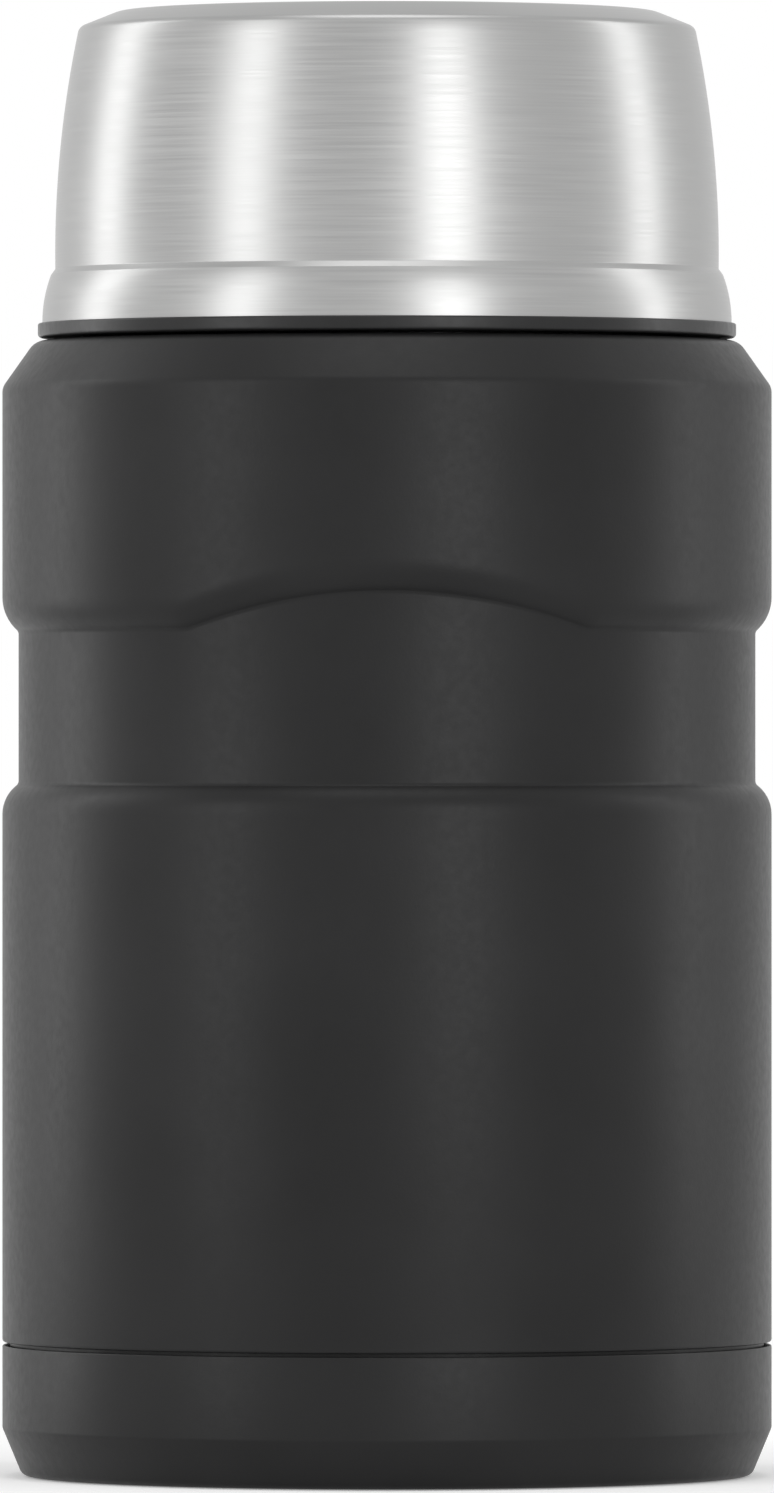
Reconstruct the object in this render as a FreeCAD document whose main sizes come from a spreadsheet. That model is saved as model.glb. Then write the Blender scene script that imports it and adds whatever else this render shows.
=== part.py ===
import FreeCAD, Part
import math
import os
import re
import Sketcher

# Insulated food jar: a double-walled steel jar with a screw stopper and a screw-on bowl lid.
# Millimetres, +Z up, origin on the table under the middle of the jar, the arched recess facing -Y.

doc = FreeCAD.newDocument("FoodJar")

# Driving dimensions, one named value each.
sheet = doc.addObject("Spreadsheet::Sheet", "Sizes")
SIZES = [
    # the painted outside
    ("body_radius", 47.5),
    ("shell_wall", 0.7),
    ("cup_wall", 0.8),
    ("cup_clearance", 0.15),
    ("cup_chamfer_height", 5.9),
    ("cup_chamfer_angle", 22.6),
    ("foot_rounding", 1.2),
    ("foot_ring_width", 5.0),
    ("foot_recess", 1.0),
    ("seam_height", 16.1),
    ("seam_gap", 0.4),
    ("seam_rounding", 0.35),
    ("waist_depth", 2.0),
    ("waist_low", 85.35),
    ("waist_height", 18.8),
    ("lower_bend_radius", 4.5),
    ("upper_bend_radius", 5.5),
    ("arch_rise", 4.55),
    ("arch_radius", 66.6),
    ("collar_height", 30.15),
    ("shoulder_height", 5.8),
    ("shoulder_angle", 35.3),
    ("shoulder_low_rounding", 2.0),
    ("shoulder_top_rounding", 2.4),
    ("neck_root_rounding", 0.8),
    # the mouth and the food vessel
    ("neck_draw_in", 10.9),
    ("neck_height", 10.4),
    ("lip_height", 1.0),
    ("lip_rounding", 0.45),
    ("neck_vacuum_gap", 0.8),
    ("vessel_wall", 0.5),
    ("vacuum_space", 3.5),
    ("vessel_standoff", 3.0),
    ("vessel_base_rounding", 7.0),
    ("vessel_bottom_height", 8.0),
    ("vessel_shoulder_drop", 10.1),
    ("vessel_shoulder_height", 9.0),
    ("vessel_shoulder_rounding", 4.0),
    ("dish_radius", 24.0),
    ("dish_rise", 1.5),
    ("dish_run", 4.0),
    # what closes and keeps the vacuum
    ("shell_end_gap", 5.0),
    ("plate_fit", 0.1),
    ("plate_depth", 1.5),
    ("plate_rounding", 1.4),
    ("dimple_radius", 5.0),
    ("dimple_rise", 1.2),
    ("dimple_run", 1.5),
    ("pump_hole_radius", 0.8),
    ("seal_fit", 0.05),
    ("seal_radius", 3.0),
    ("seal_thickness", 0.8),
    ("foil_thickness", 0.15),
    ("foil_fit", 0.1),
    ("foil_low_gap", 4.0),
    ("foil_high_gap", 3.0),
    ("holder_wall", 0.3),
    ("holder_drop", 2.6),
    ("holder_flange_radius", 8.0),
    ("getter_radius", 5.0),
    ("getter_thickness", 1.6),
    ("getter_fit", 0.2),
    # the stopper
    ("stopper_lip_gap", 0.3),
    ("stopper_fit", 1.3),
    ("stopper_depth", 18.8),
    ("stopper_wall", 1.6),
    ("stopper_rounding", 1.4),
    ("stopper_rim_drop", 0.2),
    ("groove_low", 2.0),
    ("groove_height", 3.0),
    ("groove_depth", 1.5),
    ("gasket_fit", 0.3),
    ("gasket_side_fit", 0.2),
    ("gasket_mouth_gap", 0.4),
    ("gasket_rounding", 0.7),
    ("cover_lap", 1.4),
    ("cover_thickness", 2.8),
    ("cover_rounding", 0.8),
    ("cover_fit", 0.2),
    ("cover_wall", 2.0),
    ("grip_depth", 9.0),
    ("grip_bar_width", 14.0),
    ("grip_rounding", 1.5),
    ("insulation_fit", 0.3),
    ("insulation_top_gap", 0.2),
    # the bowl lid
    ("lid_seat_gap", 0.3),
    ("lid_ring_ledge", 0.55),
    ("lid_ring_band", 1.8),
    ("lid_ring_rounding", 0.5),
    ("lid_ring_fit", 1.3),
    ("lid_ring_height", 10.0),
    ("lid_ring_top_wall", 2.3),
    ("lid_ring_taper_height", 7.2),
    ("lid_wall", 0.6),
    ("lid_fit", 0.1),
    ("lid_skirt_reach", 5.97),
    ("lid_skirt_height", 6.0),
    ("lid_skirt_pull_in", 1.07),
    ("lid_skirt_bend", 16.5),
    ("lid_step_height", 0.7),
    ("lid_step_width", 0.53),
    ("lid_side_height", 29.1),
    ("lid_side_pull_in", 2.77),
    ("lid_side_bend", 134.6),
    ("lid_edge_height", 0.98),
    ("lid_edge_width", 0.7),
    ("lid_edge_bend", 1.2),
    ("lid_crown_edge", 4.3),
    ("lid_crown_rise", 1.72),
    ("lid_crown_rounding", 3.0),
    ("bowl_wall", 0.5),
    ("bowl_fit", 0.2),
    ("bowl_rim_reach", 2.1),
    ("bowl_taper", 1.5),
    ("bowl_roof_gap", 3.3),
    ("bowl_rounding", 4.5),
]
NAMES = [name for name, value in SIZES]
for row, (name, value) in enumerate(SIZES, start=1):
    sheet.set(f"A{row}", name)
    sheet.set(f"B{row}", str(value))
    sheet.setAlias(f"B{row}", name)
doc.recompute()


def rule(text):
    """A size rule, with each of the sheet's names turned into a reference to its cell."""
    return re.sub(r"[a-z]\w+", lambda word: "Sizes." + word[0] if word[0] in NAMES else word[0], text)


def size(text):
    """The present value of a size rule in millimetres or degrees."""
    value = sheet.evalExpression(rule(text))
    return getattr(value, "Value", value)


def origin_plane(body, role):
    return next(feature for feature in body.Origin.OriginFeatures if feature.Role == role)


def bind(sketch, constraint, text):
    """Add a dimension to a sketch and tie it to the sheet."""
    sketch.setExpression(f"Constraints[{sketch.addConstraint(constraint)}]", rule(text))


def bent_edge(start, end, radius, side):
    """An arc from start to end; side +1 has its centre to the left of the way, -1 to the right."""
    chord = end - start
    to_left = FreeCAD.Vector(-chord.y, chord.x, 0).normalize() * side
    middle = (start + end) / 2
    centre = middle + to_left * math.sqrt(radius**2 - (chord.Length / 2) ** 2)
    on_arc = centre - to_left * radius
    return Part.Arc(start, on_arc, end) if side > 0 else Part.Arc(end, on_arc, start)


def half_section(body, name, points):
    """Draw a closed half section on the XZ plane.

    Each point is (radius rule, height rule, detail). Detail is None, ("round", radius rule) for a
    rounded corner, or ("bend", radius rule, side) for an arc that arrives at the point.
    """
    sketch = body.newObject("Sketcher::SketchObject", name)
    sketch.AttachmentSupport = [(origin_plane(body, "XZ_Plane"), "")]
    sketch.MapMode = "FlatFace"
    places = [FreeCAD.Vector(size(point[0]), size(point[1]), 0) for point in points]
    edges = []
    for index, start in enumerate(places):
        end = places[(index + 1) % len(places)]
        detail = points[(index + 1) % len(points)][2]
        if detail and detail[0] == "bend":
            edge = sketch.addGeometry(bent_edge(start, end, size(detail[1]), detail[2]), False)
            edges.append((edge, 1, 2) if detail[2] > 0 else (edge, 2, 1))
        else:
            edges.append((sketch.addGeometry(Part.LineSegment(start, end), False), 1, 2))
    for index, (edge, first, last) in enumerate(edges):
        following, next_first, _ = edges[(index + 1) % len(edges)]
        sketch.addConstraint(Sketcher.Constraint("Coincident", edge, last, following, next_first))
    for index, (across, up, _) in enumerate(points):
        edge, first, last = edges[index]
        bind(sketch, Sketcher.Constraint("DistanceX", -1, 1, edge, first, places[index].x), across)
        bind(sketch, Sketcher.Constraint("DistanceY", -1, 1, edge, first, places[index].y), up)
        detail = points[(index + 1) % len(points)][2]
        if detail and detail[0] == "bend":
            bind(sketch, Sketcher.Constraint("Radius", edge, size(detail[1])), detail[1])
    for index, (_, _, detail) in enumerate(points):
        if detail and detail[0] == "round":
            rounding = sketch.GeometryCount
            sketch.fillet(edges[index][0], edges[index][1], size(detail[1]), True, True)
            bind(sketch, Sketcher.Constraint("Radius", rounding, size(detail[1])), detail[1])
    return sketch


def turned(label, points):
    """A body spun from one half section about the jar's axis."""
    body = doc.addObject("PartDesign::Body", label)
    sketch = half_section(body, label + "_section", points)
    spin = body.newObject("PartDesign::Revolution", label + "_spin")
    spin.Profile = sketch
    spin.ReferenceAxis = (sketch, ["V_Axis"])
    spin.Angle = 360
    doc.recompute()
    return body


# Heights and radii that several pieces share, as rules over the sheet.
WAIST = "body_radius - waist_depth"
WAIST_HIGH = "waist_low + waist_height"
BLEND_LOW = "waist_low - sqrt(lower_bend_radius^2 - (lower_bend_radius - waist_depth)^2)"
BLEND_HIGH = f"{WAIST_HIGH} + sqrt(upper_bend_radius^2 - (upper_bend_radius - waist_depth)^2)"
SHOULDER_LOW = f"{WAIST_HIGH} + collar_height"
SHOULDER_TOP = f"{SHOULDER_LOW} + shoulder_height"
SHOULDER_RADIUS = "body_radius - shoulder_height * tan(shoulder_angle)"
CUP_FLOOR = "foot_recess + cup_wall"
SHELL_END = f"{CUP_FLOOR} + shell_end_gap"
SHELL_END_RADIUS = "body_radius - cup_wall - cup_clearance"
SEAM_TOP = "seam_height + seam_gap"
NECK_RADIUS = "(body_radius - neck_draw_in)"
NECK_TOP = f"{SHOULDER_TOP} + neck_height"
LIP_UNDERSIDE = f"{NECK_TOP} - lip_height"
MOUTH_RADIUS = f"{NECK_RADIUS} - shell_wall - neck_vacuum_gap - vessel_wall"
PLATE_BASE = f"{SHELL_END} + plate_depth"
VESSEL_RADIUS = "(body_radius - shell_wall - vacuum_space)"
VESSEL_BASE = f"{PLATE_BASE} + shell_wall + vessel_standoff"
VESSEL_WELD = f"{VESSEL_BASE} + vessel_bottom_height"
VESSEL_SHOULDER_HIGH = f"{SHOULDER_TOP} - vessel_shoulder_drop"
VESSEL_SHOULDER_LOW = f"{VESSEL_SHOULDER_HIGH} - vessel_shoulder_height"


# Outer shell: one drawn steel tube with a waist, a shoulder and a neck. The waist's upper edge
# rises in an arch at the front. It is an outside form less an inside form, each with the same arch.
def shell_form(label, inset, bottom, top):
    """The shell's outside (no inset) or its inside (inset by the wall) as a full solid."""
    lean = f"({inset}) * tan(shoulder_angle / 2)"
    turn = f"({inset}) * tan(45 - shoulder_angle / 2)"
    seam_detail = ("round", "seam_rounding") if inset == "0" else None
    return turned(label, [
        ("0", bottom, None),
        (f"{SHELL_END_RADIUS} - ({inset})", bottom, None),
        (f"{SHELL_END_RADIUS} - ({inset})", f"{SEAM_TOP} + ({inset})", None),
        (f"body_radius - ({inset})", f"{SEAM_TOP} + ({inset})", seam_detail),
        (f"body_radius - ({inset})", BLEND_LOW, None),
        (f"{WAIST} - ({inset})", f"{BLEND_LOW} + {bend_height('lower_bend_radius', inset)}",
         ("bend", f"lower_bend_radius - ({inset})", 1)),
        (f"{WAIST} - ({inset})", f"{BLEND_HIGH} - {bend_height('upper_bend_radius', inset)}", None),
        (f"body_radius - ({inset})", BLEND_HIGH, ("bend", f"upper_bend_radius - ({inset})", 1)),
        (f"body_radius - ({inset})", f"{SHOULDER_LOW} - {lean}",
         ("round", f"shoulder_low_rounding - ({inset})")),
        (f"{SHOULDER_RADIUS} - {turn}", f"{SHOULDER_TOP} - ({inset})",
         ("round", f"shoulder_top_rounding - ({inset})")),
        (f"{NECK_RADIUS} - ({inset})", f"{SHOULDER_TOP} - ({inset})",
         ("round", f"neck_root_rounding + ({inset})")),
        (f"{NECK_RADIUS} - ({inset})", top, None),
        ("0", top, None),
    ])


def bend_height(radius, inset):
    """How far up or down a waist bend runs, for the outside or the inside of the wall."""
    return f"sqrt(({radius} - ({inset}))^2 - ({radius} - ({inset}) - waist_depth)^2)"


def arch_tool(label, inset):
    """What the arch takes away above the waist: the waist's own edge section, swept along the arch."""
    wall = size(inset)
    floor_radius = size(WAIST) - wall
    overrun = 0.02
    depth = size("waist_depth") + overrun
    bend = size("upper_bend_radius") - wall
    edge_height = size(BLEND_HIGH) - math.sqrt(bend**2 - (bend - depth) ** 2)
    rise = size("arch_rise")
    radius = size("arch_radius")
    reach = 2 * size("waist_depth")
    half_width = math.sqrt(radius**2 - (radius - rise) ** 2)
    half_angle = math.asin(half_width / floor_radius)
    arch_points = []
    for step in range(-4, 5):
        angle = half_angle * step / 4
        across = floor_radius * math.sin(angle)
        lift = math.sqrt(radius**2 - across**2) - radius + rise
        arch_points.append(FreeCAD.Vector(across, -floor_radius * math.cos(angle), edge_height + lift))
    path = Part.BSplineCurve()
    path.interpolate(arch_points)
    outward = FreeCAD.Vector(-math.sin(half_angle), -math.cos(half_angle), 0)

    def place(out, up):
        return outward * out + FreeCAD.Vector(0, 0, up)

    low = edge_height - rise - reach
    crest = size(BLEND_HIGH)
    centre_radius = floor_radius + depth - bend
    half_sweep = math.atan2(edge_height - crest, bend - depth) / 2
    on_arc = place(centre_radius + bend * math.cos(half_sweep), crest + bend * math.sin(half_sweep))
    section = Part.Wire([
        Part.makeLine(place(floor_radius, low), place(floor_radius, edge_height)),
        Part.Arc(place(floor_radius, edge_height), on_arc, place(floor_radius + depth, crest)).toShape(),
        Part.makeLine(place(floor_radius + depth, crest), place(floor_radius + reach, crest)),
        Part.makeLine(place(floor_radius + reach, crest), place(floor_radius + reach, low)),
        Part.makeLine(place(floor_radius + reach, low), place(floor_radius, low)),
    ])
    sweep = Part.BRepOffsetAPI.MakePipeShell(Part.Wire(path.toShape()))
    sweep.setBiNormalMode(FreeCAD.Vector(0, 0, 1))
    sweep.add(section, False, False)
    sweep.build()
    sweep.makeSolid()
    tool = doc.addObject("Part::Feature", label)
    tool.Shape = sweep.shape()
    return tool


def cut(label, base, tool):
    result = doc.addObject("Part::Cut", label)
    result.Base = base
    result.Tool = tool
    doc.recompute()
    return result


outside = shell_form("shell_outside", "0", SHELL_END, LIP_UNDERSIDE)
inside = shell_form("shell_inside", "shell_wall", f"{SHELL_END} - 1", f"{LIP_UNDERSIDE} + 1")
arched_outside = cut("arched_outside", outside, arch_tool("arch_outside", "0"))
arched_inside = cut("arched_inside", inside, arch_tool("arch_inside", "shell_wall"))
outer_shell = cut("outer_shell", arched_outside, arched_inside)

# Base cup: a painted cup pressed over the shell's drawn-in lower end. It stands on its outer ring.
CUP_LEAN = "cup_wall * tan(cup_chamfer_angle / 2)"
FOOT_RADIUS = "body_radius - cup_chamfer_height * tan(cup_chamfer_angle)"
base_cup = turned("base_cup", [
    ("0", "foot_recess", None),
    (f"{FOOT_RADIUS} - foot_ring_width - foot_recess", "foot_recess", None),
    (f"{FOOT_RADIUS} - foot_ring_width", "0", None),
    (FOOT_RADIUS, "0", ("round", "foot_rounding")),
    ("body_radius", "cup_chamfer_height", ("round", "foot_rounding")),
    ("body_radius", "seam_height", ("round", "seam_rounding / 2")),
    ("body_radius - cup_wall", "seam_height", None),
    ("body_radius - cup_wall", f"cup_chamfer_height + {CUP_LEAN}", None),
    (f"body_radius - cup_wall - (cup_chamfer_height + {CUP_LEAN} - ({CUP_FLOOR})) * tan(cup_chamfer_angle)",
     CUP_FLOOR, None),
    ("0", CUP_FLOOR, None),
])

# Shell bottom: the plate that closes the vacuum space, with a dimple round the pumping hole.
PLATE_RADIUS = f"{SHELL_END_RADIUS} - shell_wall - plate_fit"
DIMPLE_ROOF = f"{PLATE_BASE} + dimple_rise"
shell_bottom = turned("shell_bottom", [
    ("pump_hole_radius", DIMPLE_ROOF, None),
    ("dimple_radius - dimple_run", DIMPLE_ROOF, None),
    ("dimple_radius", PLATE_BASE, None),
    (f"{PLATE_RADIUS} - shell_wall", PLATE_BASE, ("round", "plate_rounding - shell_wall")),
    (f"{PLATE_RADIUS} - shell_wall", SHELL_END, None),
    (PLATE_RADIUS, SHELL_END, None),
    (PLATE_RADIUS, f"{PLATE_BASE} + shell_wall", ("round", "plate_rounding")),
    ("dimple_radius", f"{PLATE_BASE} + shell_wall", None),
    ("dimple_radius - dimple_run", f"{DIMPLE_ROOF} + shell_wall", None),
    ("pump_hole_radius", f"{DIMPLE_ROOF} + shell_wall", None),
])

# Evacuation seal: the bead of solder glass that closes the pumping hole from below.
evacuation_seal = turned("evacuation_seal", [
    ("0", f"{DIMPLE_ROOF} - seal_thickness", None),
    ("seal_radius", f"{DIMPLE_ROOF} - seal_thickness", ("round", "seal_thickness / 2")),
    ("seal_radius", DIMPLE_ROOF, None),
    ("pump_hole_radius - seal_fit", DIMPLE_ROOF, None),
    ("pump_hole_radius - seal_fit", f"{DIMPLE_ROOF} + shell_wall", None),
    ("0", f"{DIMPLE_ROOF} + shell_wall", None),
])

# Inner vessel: the steel food vessel with its drawn-in shoulder, neck and turned-out lip.
VESSEL_BORE = f"{VESSEL_RADIUS} - vessel_wall"
inner_vessel = turned("inner_vessel", [
    (VESSEL_BORE, VESSEL_WELD, None),
    (VESSEL_RADIUS, VESSEL_WELD, None),
    (VESSEL_RADIUS, VESSEL_SHOULDER_LOW, ("round", "vessel_shoulder_rounding")),
    (f"{MOUTH_RADIUS} + vessel_wall", VESSEL_SHOULDER_HIGH, ("round", "vessel_shoulder_rounding")),
    (f"{MOUTH_RADIUS} + vessel_wall", LIP_UNDERSIDE, None),
    (NECK_RADIUS, LIP_UNDERSIDE, None),
    (NECK_RADIUS, NECK_TOP, ("round", "lip_rounding")),
    (MOUTH_RADIUS, NECK_TOP, ("round", "lip_rounding")),
    (MOUTH_RADIUS, f"{VESSEL_SHOULDER_HIGH} - vessel_wall / 2",
     ("round", "vessel_shoulder_rounding + vessel_wall")),
    (VESSEL_BORE, f"{VESSEL_SHOULDER_LOW} - vessel_wall / 2",
     ("round", "vessel_shoulder_rounding - vessel_wall")),
])

# Inner vessel bottom: the dished pressing welded under the vessel's wall.
inner_vessel_bottom = turned("inner_vessel_bottom", [
    ("0", f"{VESSEL_BASE} + dish_rise", None),
    ("dish_radius - dish_run", f"{VESSEL_BASE} + dish_rise", None),
    ("dish_radius", VESSEL_BASE, None),
    (VESSEL_RADIUS, VESSEL_BASE, ("round", "vessel_base_rounding")),
    (VESSEL_RADIUS, VESSEL_WELD, None),
    (VESSEL_BORE, VESSEL_WELD, None),
    (VESSEL_BORE, f"{VESSEL_BASE} + vessel_wall", ("round", "vessel_base_rounding - vessel_wall")),
    ("dish_radius", f"{VESSEL_BASE} + vessel_wall", None),
    ("dish_radius - dish_run", f"{VESSEL_BASE} + dish_rise + vessel_wall", None),
    ("0", f"{VESSEL_BASE} + dish_rise + vessel_wall", None),
])

# Heat shield foil: one wrap of bright foil round the vessel, in the vacuum.
FOIL_BORE = f"{VESSEL_RADIUS} + foil_fit"
FOIL_LOW = f"{VESSEL_WELD} + foil_low_gap"
FOIL_HIGH = f"{VESSEL_SHOULDER_LOW} - foil_high_gap"
heat_shield_foil = turned("heat_shield_foil", [
    (FOIL_BORE, FOIL_LOW, None),
    (f"{FOIL_BORE} + foil_thickness", FOIL_LOW, None),
    (f"{FOIL_BORE} + foil_thickness", FOIL_HIGH, None),
    (FOIL_BORE, FOIL_HIGH, None),
])

# Getter holder: a small steel cup spot-welded under the vessel, and the getter pellet in it.
HOLDER_TOP = f"{VESSEL_BASE} + dish_rise"
HOLDER_BORE = "getter_radius + getter_fit"
HOLDER_FLOOR = f"{HOLDER_TOP} - holder_drop + holder_wall"
getter_holder = turned("getter_holder", [
    ("0", f"{HOLDER_TOP} - holder_drop", None),
    (f"{HOLDER_BORE} + holder_wall", f"{HOLDER_TOP} - holder_drop", None),
    (f"{HOLDER_BORE} + holder_wall", f"{HOLDER_TOP} - holder_wall", None),
    ("holder_flange_radius", f"{HOLDER_TOP} - holder_wall", None),
    ("holder_flange_radius", HOLDER_TOP, None),
    (HOLDER_BORE, HOLDER_TOP, None),
    (HOLDER_BORE, HOLDER_FLOOR, None),
    ("0", HOLDER_FLOOR, None),
])
getter = turned("getter", [
    ("0", HOLDER_FLOOR, None),
    ("getter_radius", HOLDER_FLOOR, None),
    ("getter_radius", f"{HOLDER_FLOOR} + getter_thickness", None),
    ("0", f"{HOLDER_FLOOR} + getter_thickness", None),
])

# Stopper body: the moulded cup that screws into the mouth, with a groove for its gasket.
COVER_BASE = f"{NECK_TOP} + stopper_lip_gap"
STOPPER_BASE = f"{COVER_BASE} - stopper_depth"
STOPPER_FLOOR = f"{STOPPER_BASE} + stopper_wall"
STOPPER_RIM = f"{COVER_BASE} - stopper_rim_drop"
STOPPER_RADIUS = f"{MOUTH_RADIUS} - stopper_fit"
STOPPER_BORE = f"{STOPPER_RADIUS} - stopper_wall"
GROOVE_BASE = f"{STOPPER_BASE} + groove_low"
GROOVE_RADIUS = f"{STOPPER_RADIUS} - groove_depth"
LOWER_BORE = f"{GROOVE_RADIUS} - stopper_wall"
stopper_body = turned("stopper_body", [
    ("0", STOPPER_BASE, None),
    (STOPPER_RADIUS, STOPPER_BASE, ("round", "stopper_rounding")),
    (STOPPER_RADIUS, GROOVE_BASE, None),
    (GROOVE_RADIUS, GROOVE_BASE, None),
    (GROOVE_RADIUS, f"{GROOVE_BASE} + groove_height", None),
    (STOPPER_RADIUS, f"{GROOVE_BASE} + groove_height", None),
    (STOPPER_RADIUS, STOPPER_RIM, None),
    (STOPPER_BORE, STOPPER_RIM, None),
    (STOPPER_BORE, f"{GROOVE_BASE} + groove_height + stopper_wall", None),
    (LOWER_BORE, f"{GROOVE_BASE} + groove_height + stopper_wall", None),
    (LOWER_BORE, STOPPER_FLOOR, None),
    ("0", STOPPER_FLOOR, None),
])

# Stopper gasket: the silicone ring in the groove, which wipes the mouth.
GASKET_BORE = f"{GROOVE_RADIUS} + gasket_fit"
GASKET_RADIUS = f"{MOUTH_RADIUS} - gasket_mouth_gap"
stopper_gasket = turned("stopper_gasket", [
    (GASKET_BORE, f"{GROOVE_BASE} + gasket_side_fit", None),
    (GASKET_RADIUS, f"{GROOVE_BASE} + gasket_side_fit", ("round", "gasket_rounding")),
    (GASKET_RADIUS, f"{GROOVE_BASE} + groove_height - gasket_side_fit", ("round", "gasket_rounding")),
    (GASKET_BORE, f"{GROOVE_BASE} + groove_height - gasket_side_fit", None),
])

# Stopper cover: a flanged dish that plugs into the cup, with a grip bar across it.
PLUG_RADIUS = f"{STOPPER_BORE} - cover_fit"
COVER_RADIUS = f"{MOUTH_RADIUS} + cover_lap"
COVER_TOP = f"{COVER_BASE} + cover_thickness"
GRIP_FLOOR = f"{COVER_TOP} - grip_depth"
stopper_cover = turned("stopper_cover", [
    ("0", f"{GRIP_FLOOR} - stopper_wall", None),
    (PLUG_RADIUS, f"{GRIP_FLOOR} - stopper_wall", None),
    (PLUG_RADIUS, COVER_BASE, None),
    (COVER_RADIUS, COVER_BASE, None),
    (COVER_RADIUS, COVER_TOP, ("round", "cover_rounding")),
    (f"{PLUG_RADIUS} - cover_wall", COVER_TOP, ("round", "cover_rounding")),
    (f"{PLUG_RADIUS} - cover_wall", GRIP_FLOOR, ("round", "grip_rounding")),
    ("0", GRIP_FLOOR, None),
])
bar_sketch = stopper_cover.newObject("Sketcher::SketchObject", "grip_bar_outline")
bar_sketch.AttachmentSupport = [(origin_plane(stopper_cover, "XY_Plane"), "")]
bar_sketch.MapMode = "FlatFace"
bar_sketch.setExpression("AttachmentOffset.Base.z", rule(GRIP_FLOOR))
BAR_REACH = f"{PLUG_RADIUS} - cover_wall / 2"
half_bar = size("grip_bar_width") / 2
bar_end = math.sqrt(size(BAR_REACH) ** 2 - half_bar**2)
corners = [
    FreeCAD.Vector(-bar_end, -half_bar, 0),
    FreeCAD.Vector(bar_end, -half_bar, 0),
    FreeCAD.Vector(bar_end, half_bar, 0),
    FreeCAD.Vector(-bar_end, half_bar, 0),
]
for side in range(4):
    bar_sketch.addGeometry(Part.LineSegment(corners[side], corners[(side + 1) % 4]), False)
for side in range(4):
    bar_sketch.addConstraint(Sketcher.Constraint("Coincident", side, 2, (side + 1) % 4, 1))
    bar_sketch.addConstraint(Sketcher.Constraint("Horizontal" if side % 2 == 0 else "Vertical", side))
BAR_END = f"sqrt(({BAR_REACH})^2 - (grip_bar_width / 2)^2)"
bind(bar_sketch, Sketcher.Constraint("DistanceX", -1, 1, 1, 1, bar_end), BAR_END)
bind(bar_sketch, Sketcher.Constraint("DistanceX", 0, 1, -1, 1, bar_end), BAR_END)
bind(bar_sketch, Sketcher.Constraint("DistanceY", -1, 1, 2, 1, half_bar), "grip_bar_width / 2")
bind(bar_sketch, Sketcher.Constraint("DistanceY", 0, 2, -1, 1, half_bar), "grip_bar_width / 2")
grip_bar = stopper_cover.newObject("PartDesign::Pad", "grip_bar")
grip_bar.Profile = bar_sketch
grip_bar.setExpression("Length", rule("grip_depth"))
doc.recompute()

# Stopper insulation: the foam disc shut inside the stopper.
stopper_insulation = turned("stopper_insulation", [
    ("0", STOPPER_FLOOR, None),
    (f"{LOWER_BORE} - insulation_fit", STOPPER_FLOOR, None),
    (f"{LOWER_BORE} - insulation_fit", f"{GRIP_FLOOR} - stopper_wall - insulation_top_gap", None),
    ("0", f"{GRIP_FLOOR} - stopper_wall - insulation_top_gap", None),
])

# Lid rim ring: the moulded ring under the lid, which holds both steel walls and screws on the neck.
RING_BORE = f"{NECK_RADIUS} + lid_ring_fit"
SKIRT_RADIUS = f"{NECK_RADIUS} + lid_skirt_reach"
RING_RADIUS = f"{SKIRT_RADIUS} + lid_ring_ledge"
RING_BASE = f"{SHOULDER_TOP} + lid_seat_gap"
BAND_TOP = f"{RING_BASE} + lid_ring_band"
RING_TOP = f"{RING_BASE} + lid_ring_height"
lid_rim_ring = turned("lid_rim_ring", [
    (RING_BORE, RING_BASE, ("round", "lid_ring_rounding")),
    (RING_RADIUS, RING_BASE, ("round", "lid_ring_rounding")),
    (RING_RADIUS, BAND_TOP, ("round", "lid_ring_rounding / 2")),
    (f"{SKIRT_RADIUS} - lid_wall - lid_fit", BAND_TOP, None),
    (f"{RING_BORE} + lid_ring_top_wall", f"{RING_BASE} + lid_ring_taper_height", None),
    (f"{RING_BORE} + lid_ring_top_wall", RING_TOP, None),
    (RING_BORE, RING_TOP, None),
])

# Lid outer shell: the brushed steel cup, with a flared skirt, a curved side and a raised crown.
SKIRT_TOP = f"{BAND_TOP} + lid_skirt_height"
STEP_TOP = f"{SKIRT_TOP} + lid_step_height"
SIDE_TOP = f"{STEP_TOP} + lid_side_height"
EDGE_TOP = f"{SIDE_TOP} + lid_edge_height"
CROWN_TOP = f"{EDGE_TOP} + lid_crown_rise"
SKIRT_IN = f"{SKIRT_RADIUS} - lid_skirt_pull_in"
SIDE_LOW = f"{SKIRT_IN} - lid_step_width"
SIDE_HIGH = f"{SIDE_LOW} - lid_side_pull_in"
EDGE_IN = f"{SIDE_HIGH} - lid_edge_width"
CROWN_RADIUS = f"{EDGE_IN} - lid_crown_edge"
lid_outer_shell = turned("lid_outer_shell", [
    (f"{SKIRT_RADIUS} - lid_wall", BAND_TOP, ("bend", "lid_skirt_bend - lid_wall", -1)),
    (SKIRT_RADIUS, BAND_TOP, None),
    (SKIRT_IN, SKIRT_TOP, ("bend", "lid_skirt_bend", 1)),
    (SIDE_LOW, STEP_TOP, None),
    (SIDE_HIGH, SIDE_TOP, ("bend", "lid_side_bend", 1)),
    (EDGE_IN, EDGE_TOP, ("bend", "lid_edge_bend", 1)),
    (CROWN_RADIUS, CROWN_TOP, ("round", "lid_crown_rounding")),
    ("0", CROWN_TOP, None),
    ("0", f"{CROWN_TOP} - lid_wall", None),
    (f"{CROWN_RADIUS} - lid_wall / 5", f"{CROWN_TOP} - lid_wall", ("round", "lid_crown_rounding - lid_wall")),
    (f"{EDGE_IN} - lid_wall / 2", f"{EDGE_TOP} - lid_wall * 0.85", None),
    (f"{SIDE_HIGH} - lid_wall", f"{SIDE_TOP} - lid_wall / 5", ("bend", "lid_edge_bend - lid_wall / 2", -1)),
    (f"{SIDE_LOW} - lid_wall", f"{STEP_TOP} + lid_wall / 2", ("bend", "lid_side_bend - lid_wall", -1)),
    (f"{SKIRT_IN} - lid_wall", f"{SKIRT_TOP} + lid_wall / 2", None),
])

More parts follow.
